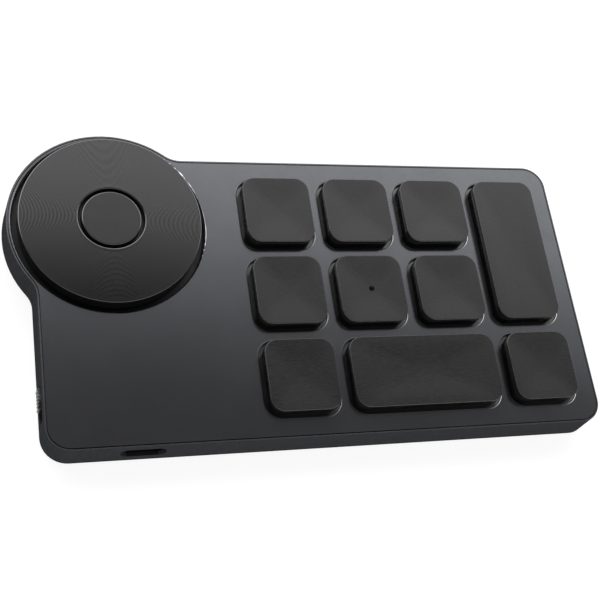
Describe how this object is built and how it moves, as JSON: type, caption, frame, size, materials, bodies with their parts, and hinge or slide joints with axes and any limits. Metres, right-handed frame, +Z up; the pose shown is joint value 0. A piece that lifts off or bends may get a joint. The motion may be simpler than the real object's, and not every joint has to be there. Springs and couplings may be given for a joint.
{
  "type": "macro keypad",
  "caption": "Low desk keypad with sprung square keys, one tall key, one wide key, an endless dial with a centre button, a side power slider and a front charging port.",
  "frame": {"origin": "under the middle of the bounding box, on the plane that the feet stand on", "axes": "+Z up out of the keys, +X to the user's right along the rows, +Y away from the user"},
  "size_m": [0.1264, 0.0702, 0.012],
  "materials": {
    "frame_plastic": "fine satin",
    "plate_metal": "dark anodised, fine bead blast",
    "cover_plastic": "fine texture",
    "feet_rubber": "matt",
    "screw_steel": "plain",
    "board_laminate": "solder mask",
    "chip_epoxy": "moulded",
    "tinned_steel": "bright",
    "battery_foil": "laminated foil",
    "adhesive": "plain",
    "connector_plastic": "moulded",
    "connector_black": "moulded",
    "lead_insulation": "smooth",
    "slider_plastic": "smooth",
    "silicone": "translucent",
    "guide_plastic": "moulded",
    "well_plastic": "moulded",
    "bush_plastic": "natural acetal",
    "magnet": "bonded ferrite",
    "dial_metal": "dark anodised, fine turned rings",
    "button_plastic": "satin",
    "key_plastic": "fine satin with glossy sides"
  },
  "bodies": {
    "base": {"battery_cell": "battery_foil", "battery_header": "connector_plastic", "battery_leads": "lead_insulation", "battery_plug": "connector_plastic", "battery_tape": "adhesive", "board_chips": "chip_epoxy", "board_screws": "screw_steel", "bottom_cover": "cover_plastic", "button_dome": "silicone", "cover_screws": "screw_steel", "dial_post": "guide_plastic", "dial_sensors": "chip_epoxy", "dial_well": "well_plastic", "dome_mat": "silicone", "glide_washer": "bush_plastic", "guide_screws": "screw_steel", "key_back_1_dome": "silicone", "key_back_2_dome": "silicone", "key_back_3_dome": "silicone", "key_front_1_dome": "silicone", "key_front_4_dome": "silicone", "key_guide": "guide_plastic", "key_middle_1_dome": "silicone", "key_middle_2_dome": "silicone", "key_middle_3_dome": "silicone", "key_tall_dome": "silicone", "key_wide_dome": "silicone", "main_board": "board_laminate", "plate_tape": "adhesive", "post_screws": "screw_steel", "power_switch": "tinned_steel", "retaining_ring": "screw_steel", "rubber_feet": "feet_rubber", "shield_can": "tinned_steel", "side_frame": "frame_plastic", "top_plate": "plate_metal", "usb_shell": "tinned_steel", "usb_tongue": "connector_black"},
    "dial": {"dial_cap": "dial_metal", "dial_hub": "guide_plastic", "dial_bush": "bush_plastic", "magnet_ring": "magnet"},
    "centre_button": {"centre_button": "button_plastic"},
    "power_slider": {"power_slider": "slider_plastic", "switch_nub": "connector_black"},
    "key_back_1": {"key_back_1": "key_plastic"},
    "key_back_2": {"key_back_2": "key_plastic"},
    "key_back_3": {"key_back_3": "key_plastic"},
    "key_front_1": {"key_front_1": "key_plastic"},
    "key_front_4": {"key_front_4": "key_plastic"},
    "key_middle_1": {"key_middle_1": "key_plastic"},
    "key_middle_2": {"key_middle_2": "key_plastic"},
    "key_middle_3": {"key_middle_3": "key_plastic"},
    "key_tall": {"key_tall": "key_plastic"},
    "key_wide": {"key_wide": "key_plastic"},
    "key_tall_wire": {"key_tall_wire": "screw_steel"},
    "key_wide_wire": {"key_wide_wire": "screw_steel"}
  },
  "joints": [
    {"name": "dial_turn", "type": "hinge", "parent": "base", "child": "dial", "pos_m": [-0.04174, 0.01355, 0], "axis": [0, 0, 1], "continuous": true},
    {"name": "centre_button_press", "type": "slide", "parent": "base", "child": "centre_button", "axis": [0, 0, -1], "range_m": [0, 0.0008], "stiffness_N_per_m": 900, "deforming": ["button_dome"]},
    {"name": "power_slide", "type": "slide", "parent": "base", "child": "power_slider", "axis": [0, -1, 0], "range_m": [0, 0.0022]},
    {"name": "key_back_1_press", "type": "slide", "parent": "base", "child": "key_back_1", "axis": [0, 0, -1], "range_m": [0, 0.0012], "stiffness_N_per_m": 400, "deforming": ["key_back_1_dome"]},
    {"name": "key_back_2_press", "type": "slide", "parent": "base", "child": "key_back_2", "axis": [0, 0, -1], "range_m": [0, 0.0012], "stiffness_N_per_m": 400, "deforming": ["key_back_2_dome"]},
    {"name": "key_back_3_press", "type": "slide", "parent": "base", "child": "key_back_3", "axis": [0, 0, -1], "range_m": [0, 0.0012], "stiffness_N_per_m": 400, "deforming": ["key_back_3_dome"]},
    {"name": "key_front_1_press", "type": "slide", "parent": "base", "child": "key_front_1", "axis": [0, 0, -1], "range_m": [0, 0.0012], "stiffness_N_per_m": 400, "deforming": ["key_front_1_dome"]},
    {"name": "key_front_4_press", "type": "slide", "parent": "base", "child": "key_front_4", "axis": [0, 0, -1], "range_m": [0, 0.0012], "stiffness_N_per_m": 400, "deforming": ["key_front_4_dome"]},
    {"name": "key_middle_1_press", "type": "slide", "parent": "base", "child": "key_middle_1", "axis": [0, 0, -1], "range_m": [0, 0.0012], "stiffness_N_per_m": 400, "deforming": ["key_middle_1_dome"]},
    {"name": "key_middle_2_press", "type": "slide", "parent": "base", "child": "key_middle_2", "axis": [0, 0, -1], "range_m": [0, 0.0012], "stiffness_N_per_m": 400, "deforming": ["key_middle_2_dome"]},
    {"name": "key_middle_3_press", "type": "slide", "parent": "base", "child": "key_middle_3", "axis": [0, 0, -1], "range_m": [0, 0.0012], "stiffness_N_per_m": 400, "deforming": ["key_middle_3_dome"]},
    {"name": "key_tall_press", "type": "slide", "parent": "base", "child": "key_tall", "axis": [0, 0, -1], "range_m": [0, 0.0012], "stiffness_N_per_m": 400, "deforming": ["key_tall_dome"]},
    {"name": "key_wide_press", "type": "slide", "parent": "base", "child": "key_wide", "axis": [0, 0, -1], "range_m": [0, 0.0012], "stiffness_N_per_m": 400, "deforming": ["key_wide_dome"]},
    {"name": "key_tall_wire_turn", "type": "hinge", "parent": "base", "child": "key_tall_wire", "pos_m": [0.05461, 0.00641, 0.00715], "axis": [0, 1, 0], "range_deg": [-14, 0]},
    {"name": "key_wide_wire_turn", "type": "hinge", "parent": "base", "child": "key_wide_wire", "pos_m": [0.02201, -0.0269, 0.00715], "axis": [1, 0, 0], "range_deg": [-14, 0]}
  ],
  "couplings": [
    {"joint": "key_tall_wire_turn", "follows": "key_tall_press", "rad_per_m": -181.82},
    {"joint": "key_wide_wire_turn", "follows": "key_wide_press", "rad_per_m": -181.82}
  ]
}
